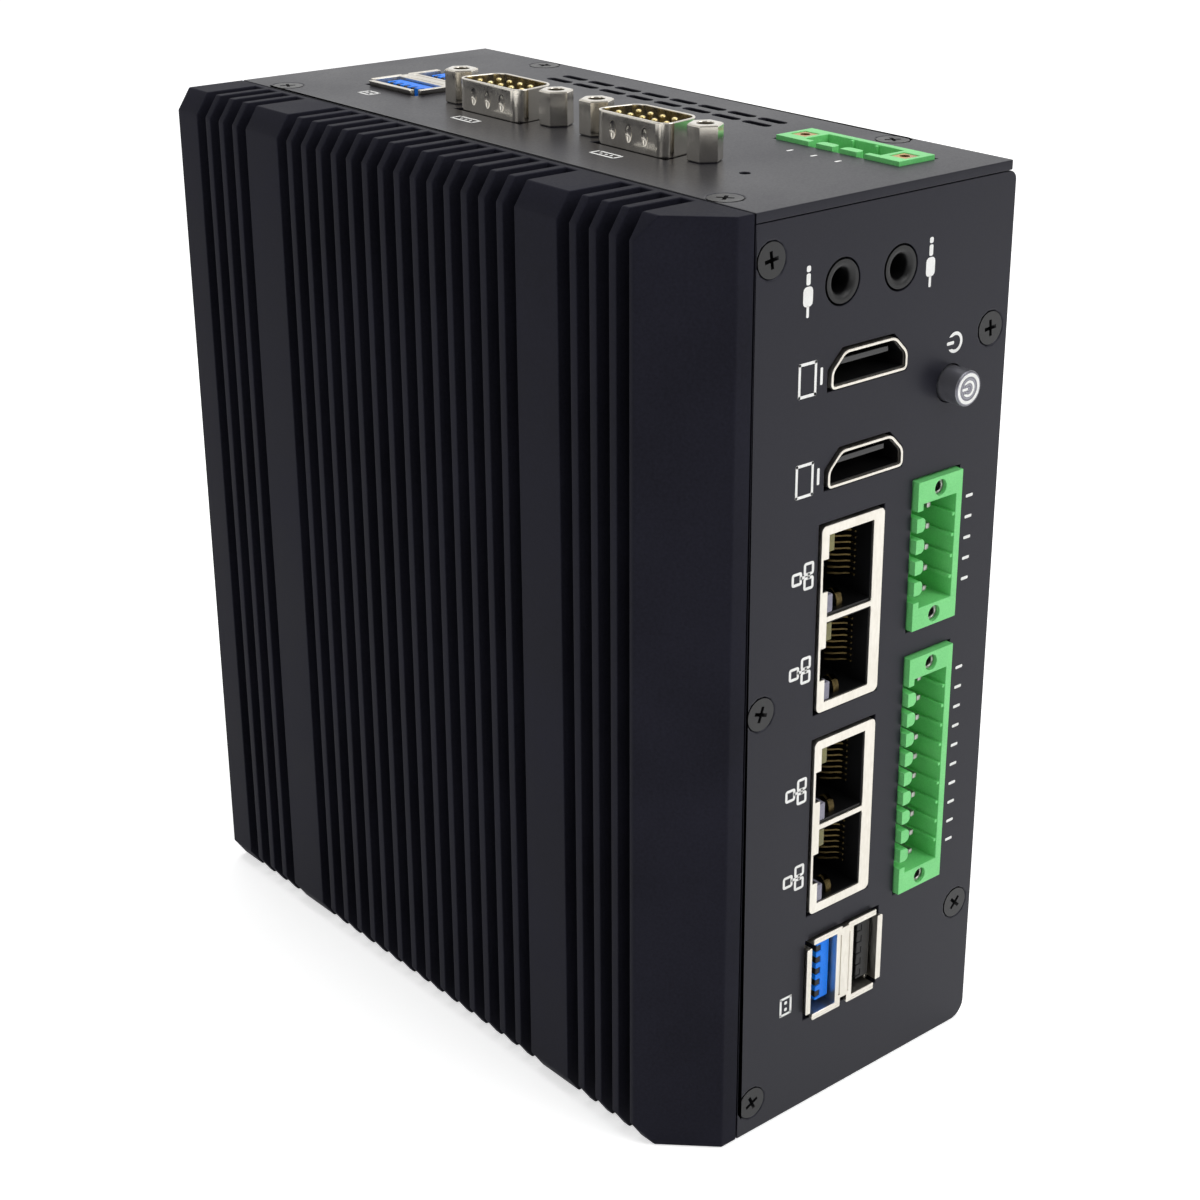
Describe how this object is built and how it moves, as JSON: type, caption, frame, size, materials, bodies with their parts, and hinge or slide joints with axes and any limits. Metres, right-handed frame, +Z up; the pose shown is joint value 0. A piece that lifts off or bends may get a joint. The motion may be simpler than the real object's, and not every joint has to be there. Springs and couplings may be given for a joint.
{
  "type": "din-rail box computer",
  "caption": "Upright fanless box computer with a finned side heatsink, front and top sockets, a push button and a sprung rail clip on the back.",
  "frame": {"origin": "middle of the footprint of the case, on the plane that it stands on", "axes": "+Z up, -Y out of the front port panel, -X out of the fins, +Y out of the back where the rail clip is"},
  "size_m": [0.067, 0.1431, 0.1556],
  "materials": {
    "black_aluminium": "black powder coat",
    "black_panel": "fine black powder coat",
    "black_screw": "black oxide",
    "plated_shell": "bright nickel plate",
    "blue_plastic": "satin",
    "black_plastic": "satin",
    "green_plastic": "satin",
    "gold_contact": "gold plate",
    "tinned_pin": "tin plate",
    "brass_insert": "machined",
    "light_window": "frosted",
    "button_metal": "turned",
    "circuit_board": "solder mask",
    "pad_rubber": "matt",
    "bare_aluminium": "milled",
    "clip_metal": "black anodised",
    "clip_latch": "zinc plate"
  },
  "bodies": {
    "case": {"heatsink": "black_aluminium", "front_panel": "black_panel", "top_panel": "black_panel", "side_cover": "black_panel", "panel_screws": "black_screw", "bus_front_shell": "plated_shell", "bus_front_tongue_a": "blue_plastic", "bus_front_tongue_b": "black_plastic", "bus_top_shell": "plated_shell", "bus_top_tongue_a": "blue_plastic", "bus_top_tongue_b": "blue_plastic", "lan_shield_low": "plated_shell", "lan_shield_high": "plated_shell", "lan_insert_low": "black_plastic", "lan_insert_high": "black_plastic", "lan_contacts": "gold_contact", "lan_lights_upper": "light_window", "lan_lights_lower": "light_window", "video_shell_low": "plated_shell", "video_shell_high": "plated_shell", "video_core_low": "black_plastic", "video_core_high": "black_plastic", "audio_jacks": "black_plastic", "signal_header_long": "green_plastic", "signal_header_short": "green_plastic", "signal_pins": "tinned_pin", "header_bushes": "tinned_pin", "power_header": "green_plastic", "power_inserts": "brass_insert", "power_pins": "tinned_pin", "power_switch": "black_plastic", "serial_shell_front": "plated_shell", "serial_shell_rear": "plated_shell", "serial_insert_front": "black_plastic", "serial_insert_rear": "black_plastic", "serial_pins": "gold_contact", "jack_posts": "plated_shell", "serial_board": "circuit_board", "main_board": "circuit_board", "board_standoffs": "brass_insert", "port_board": "circuit_board", "board_risers": "brass_insert", "board_screws": "tinned_pin", "processor": "black_plastic", "thermal_pad": "pad_rubber", "heat_spreader": "bare_aluminium", "memory_socket": "black_plastic", "memory_module": "circuit_board", "storage_socket": "black_plastic", "storage_module": "circuit_board", "storage_post": "brass_insert", "backup_cell": "button_metal", "rail_bracket": "clip_metal", "rail_spring": "button_metal", "rail_screws": "black_screw"},
    "button": {"power_button": "button_metal"},
    "latch": {"rail_latch": "clip_latch"}
  },
  "joints": [
    {"name": "button_press", "type": "slide", "parent": "case", "child": "button", "axis": [0, 1, 0], "range_m": [0, 0.0006], "stiffness_N_per_m": 1500, "springref_m": -0.0008},
    {"name": "latch_slide", "type": "slide", "parent": "case", "child": "latch", "axis": [0, 0, -1], "range_m": [0, 0.004], "stiffness_N_per_m": 900, "springref_m": -0.002, "deforming": ["rail_spring"]}
  ]
}
